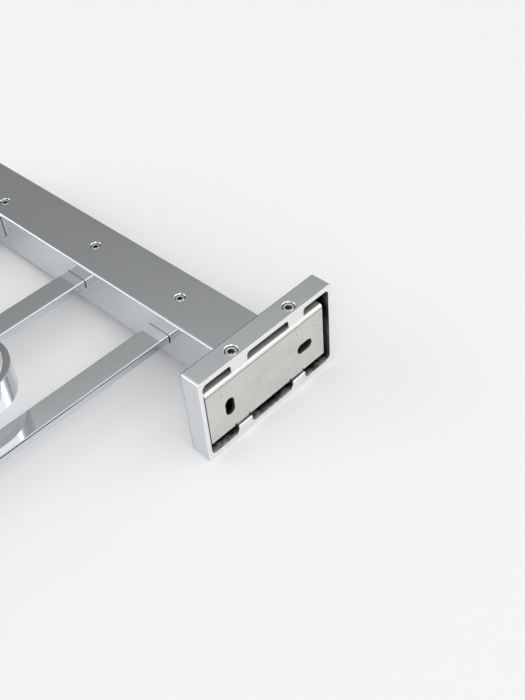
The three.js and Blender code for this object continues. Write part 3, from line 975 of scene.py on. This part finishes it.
def middle_shelf_bar():
    y = middle_of("middle_shelf_bar").y
    slots = [strip_slot(side, y, -REACH, REACH) for side in SIDES.values()]
    return cut(flat_bar("middle_shelf_bar"), *slots)


def front_rail():
    low, high = node_box("front_rail")
    rail = prism("X", rectangle((low.y, low.z), (high.y, high.z), EDGE), low.x, high.x, 0.15, 0.15)
    hollow_low = (low.y + RAIL_WALL, low.z + RAIL_WALL)
    hollow_high = (high.y - RAIL_WALL, high.z - RAIL_WALL)
    tools = [prism("X", rectangle(hollow_low, hollow_high), low.x - 1, high.x + 1)]
    y = (low.y + high.y) / 2
    for name, side in SIDES.items():
        screw = middle_of("rail_grub_screw_" + name)
        bore = GRUB_SCREW["radius"] + HOLE_CLEARANCE
        tools.append(strip_slot(side, y, high.z - RAIL_WALL - 1, high.z + 1))
        tools.append(turned("Z", screw.x, screw.y, [(bore, high.z - GRUB_SCREW_HOLE), (bore, high.z + 1)]))
    return cut(rail, *tools)


def towel_rail():
    """A flat strip on edge: out along one leg, round a bend, along the wall and back."""
    low, high = node_box("towel_rail")
    outer = STRIP_BEND
    inner = STRIP_BEND - STRIP_THICKNESS
    thick = STRIP_THICKNESS
    corners = [
        (low.x, low.y, STRIP_EDGE),
        (low.x + thick, low.y, STRIP_EDGE),
        (low.x + thick, high.y - thick, inner),
        (high.x - thick, high.y - thick, inner),
        (high.x - thick, low.y, STRIP_EDGE),
        (high.x, low.y, STRIP_EDGE),
        (high.x, high.y, outer),
        (low.x, high.y, outer),
    ]
    strip = prism("Z", corners, high.z - STRIP_HEIGHT, high.z, STRIP_EDGE, STRIP_EDGE, STRIP_BEND_STEPS)
    tabs = []
    for side in SIDES.values():
        x = side * (high.x - thick / 2)
        for bar, bottom in (("middle_shelf_bar", low.z), ("front_rail", front_rail_top() - STRIP_TAB_DEPTH)):
            y = middle_of(bar).y
            tab_low = (x - thick / 2, y - STRIP_TAB_LENGTH / 2, bottom)
            tab_high = (x + thick / 2, y + STRIP_TAB_LENGTH / 2, high.z - STRIP_HEIGHT + 1)
            tabs.append(box(tab_low, tab_high))
    rail = joined(strip, *tabs)
    # painted shade on the strip's upward edge
    paint(rail, 1, lambda _, normal: normal.z > 0.9)
    return rail


# ---- The rack ------------------------------------------------------------------------------------


def rack_end(name):
    flange_parts = (SATIN_CHROME, PALE_LIT_CHROME, SHADED_CAST_WALL, SHADED_CAST_SILL, BARE_METAL_AND_SHADE)
    stand_in("wall_flange_" + name, wall_flange(name), *flange_parts)
    stand_in("wall_plate_" + name, wall_plate(name), STAINLESS, BEND_HIGHLIGHT, BARE_METAL_AND_SHADE)
    stand_in("side_beam_" + name, side_beam(name), CHROME, BARE_METAL_AND_SHADE)
    stand_in("beam_end_cap_" + name, beam_end_cap(name), CHROME)
    stand_in("beam_anchor_block_" + name, beam_anchor_block(name), BRASS)
    for place in ("inner", "outer"):
        node = f"set_screw_{name}_{place}"
        stand_in(node, headless_screw(node, SET_SCREW), STEEL, SOCKET_SHADE)
        node = f"flange_bolt_{name}_{place}"
        stand_in(node, flange_bolt(node), STEEL, SOCKET_SHADE)
    for bar in ("rear", "middle"):
        stand_in(f"{bar}_bar_socket_{name}", bar_socket(name, bar), BRASS)
    for bar in ("rear", "middle", "rail"):
        node = f"{bar}_grub_screw_{name}"
        stand_in(node, headless_screw(node, GRUB_SCREW), STEEL, SOCKET_SHADE)


for side_name in SIDES:
    rack_end(side_name)
stand_in("rear_shelf_bar", rear_shelf_bar(), CHROME, ARRIS_SHADE_LINE)
stand_in("middle_shelf_bar", middle_shelf_bar(), CHROME)
stand_in("front_rail", front_rail(), CHROME)
stand_in("towel_rail", towel_rail(), CHROME, STRIP_TOP_SHADE)


# ---- Floor, light and camera ---------------------------------------------------------------------


TABLE_WIDTH = 6.0  # metres


def floor():
    """A pale table top that the rack lies on, on its flanges and the caps of its beams."""
    flange_low, flange_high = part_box("wall_flange_left")
    cap_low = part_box("beam_end_cap_left")[0]
    slope = (cap_low.z - flange_low.z) / (cap_low.y - flange_high.y)
    half = TABLE_WIDTH / 2
    corners = ((-half, -half), (half, -half), (half, half), (-half, half))
    points = [(x, y, flange_low.z + slope * (y - flange_high.y)) for x, y in corners]
    data = bpy.data.meshes.new("table_top")
    data.from_pydata(points, [], [(0, 1, 2, 3)])
    table = bpy.data.objects.new("table_top", data)
    bpy.context.scene.collection.objects.link(table)
    recipe = Recipe("table_paint")
    cloud = recipe.noise(recipe.place, 3.0, 2.0)
    colour = recipe.mix(cloud, (0.83, 0.83, 0.84), (0.85, 0.85, 0.86))
    roughness = recipe.remap(cloud, 0.3, 0.7, 0.55, 0.65)
    normal = recipe.bump(recipe.noise(recipe.place, 900.0, 2.0), 0.02, 0.0001)
    data.materials.append(recipe.finish(colour, roughness, normal, metallic=0.0))


BRIGHTEST = 4.0  # the level that a ramp's full white stands for


def ramp(tree, value, stops):
    """A grey level that follows value through (position, level) stops, for levels up to BRIGHTEST."""
    made = tree.nodes.new("ShaderNodeValToRGB")
    tree.links.new(value, made.inputs["Fac"])
    marks = made.color_ramp.elements
    while len(marks) < len(stops):
        marks.new(0.5)
    for mark, (position, level) in zip(marks, stops):
        mark.position = position
        grey = level / BRIGHTEST
        mark.color = (grey, grey, grey, 1)
    return made.outputs["Color"]


def facing(tree, direction, towards, low, high):
    """From 0 to 1 as a ray turns towards a direction, between two cosines."""
    dot = tree.nodes.new("ShaderNodeVectorMath")
    dot.operation = "DOT_PRODUCT"
    dot.inputs[1].default_value = Vector(towards).normalized()
    tree.links.new(direction, dot.inputs[0])
    step = tree.nodes.new("ShaderNodeMapRange")
    step.interpolation_type = "SMOOTHSTEP"
    step.inputs["From Min"].default_value = low
    step.inputs["From Max"].default_value = high
    tree.links.new(dot.outputs["Value"], step.inputs["Value"])
    return step.outputs["Result"]


def blended(tree, factor, first, second):
    made = tree.nodes.new("ShaderNodeMix")
    made.data_type = "RGBA"
    tree.links.new(factor, made.inputs["Factor"])
    tree.links.new(first, made.inputs[6])
    tree.links.new(second, made.inputs[7])
    return made.outputs[2]


# Grey levels against the sine of the height above the horizon, for each side of the studio.
ALL_ROUND = [(0.0, 0.70), (0.3, 0.72), (0.5, 0.745), (0.7, 0.78), (0.87, 0.89), (1.0, 0.93)]
BEYOND_RACK = [
    (0.0, 0.55),
    (0.3, 0.48),
    (0.45, 0.31),
    (0.55, 0.32),
    (0.62, 0.37),
    (0.69, 0.47),
    (0.74, 0.66),
    (0.88, 0.95),
]
RIGHT_OF_RACK = [(0.0, 0.12), (0.12, 0.15), (0.22, 1.3), (0.5, 1.5), (0.6, 2.1), (0.7, 1.8), (0.87, 1.0)]
LEFT_OF_RACK = [(0.0, 1.5), (0.2, 1.9), (0.52, 2.1), (0.58, 0.7), (0.63, 0.7), (0.68, 1.15), (0.87, 1.0)]
RIGHT_SIDE = {"towards": (-0.45, 0.89, 0), "outer": 0.4, "inner": 0.62, "levels": RIGHT_OF_RACK}
LEFT_SIDE = {"towards": (0.73, -0.68, 0), "outer": 0.6, "inner": 0.8, "levels": LEFT_OF_RACK}
FAR_SIDE = {"towards": (-1, -1, 0), "outer": 0.2, "inner": 0.6, "levels": BEYOND_RACK}
STRIP_LAMP = {"towards": (-0.64, 0.35, 0.68), "outer": 0.9945, "inner": 0.9975, "levels": [(0.0, 1.3)]}
FILL_LAMP = {"towards": (0.53, 0.49, 0.69), "outer": 0.955, "inner": 0.975, "levels": [(0.0, 2.1)]}


def studio_light():
    """Soft light from a bright ceiling, walls and two lamps; the wall beyond the rack is darker."""
    world = bpy.data.worlds.new("studio")
    bpy.context.scene.world = world
    world.use_nodes = True
    tree = world.node_tree
    direction = tree.nodes.new("ShaderNodeTexCoord").outputs["Generated"]
    parts = tree.nodes.new("ShaderNodeSeparateXYZ")
    tree.links.new(direction, parts.inputs["Vector"])
    height = parts.outputs["Z"]
    light = ramp(tree, height, ALL_ROUND)
    for part in (RIGHT_SIDE, LEFT_SIDE, FAR_SIDE, STRIP_LAMP, FILL_LAMP):
        spread = facing(tree, direction, part["towards"], part["outer"], part["inner"])
        light = blended(tree, spread, light, ramp(tree, height, part["levels"]))
    background = tree.nodes["Background"]
    tree.links.new(light, background.inputs["Color"])
    background.inputs["Strength"].default_value = BRIGHTEST


# The camera looks down on the left flange from behind the wall plane; lengths in metres.
CAMERA_PLACE = Vector((-0.0464, 0.2255, 0.3130))
CAMERA_AIM = Vector((-0.2648, -0.0131, 0.0))
CAMERA_ROLL = math.radians(-5.62)
LENS = 49.06
SENSOR_WIDTH = 36.0


def camera():
    data = bpy.data.cameras.new("camera")
    data.lens = LENS
    data.sensor_width = SENSOR_WIDTH
    item = bpy.data.objects.new("camera", data)
    turn = (CAMERA_AIM - CAMERA_PLACE).to_track_quat("-Z", "Y").to_matrix().to_4x4()
    item.matrix_world = Matrix.Translation(CAMERA_PLACE) @ turn @ Matrix.Rotation(CAMERA_ROLL, 4, "Z")
    bpy.context.scene.collection.objects.link(item)
    bpy.context.scene.camera = item


floor()
studio_light()
camera()
bpy.context.scene.view_settings.view_transform = "Standard"
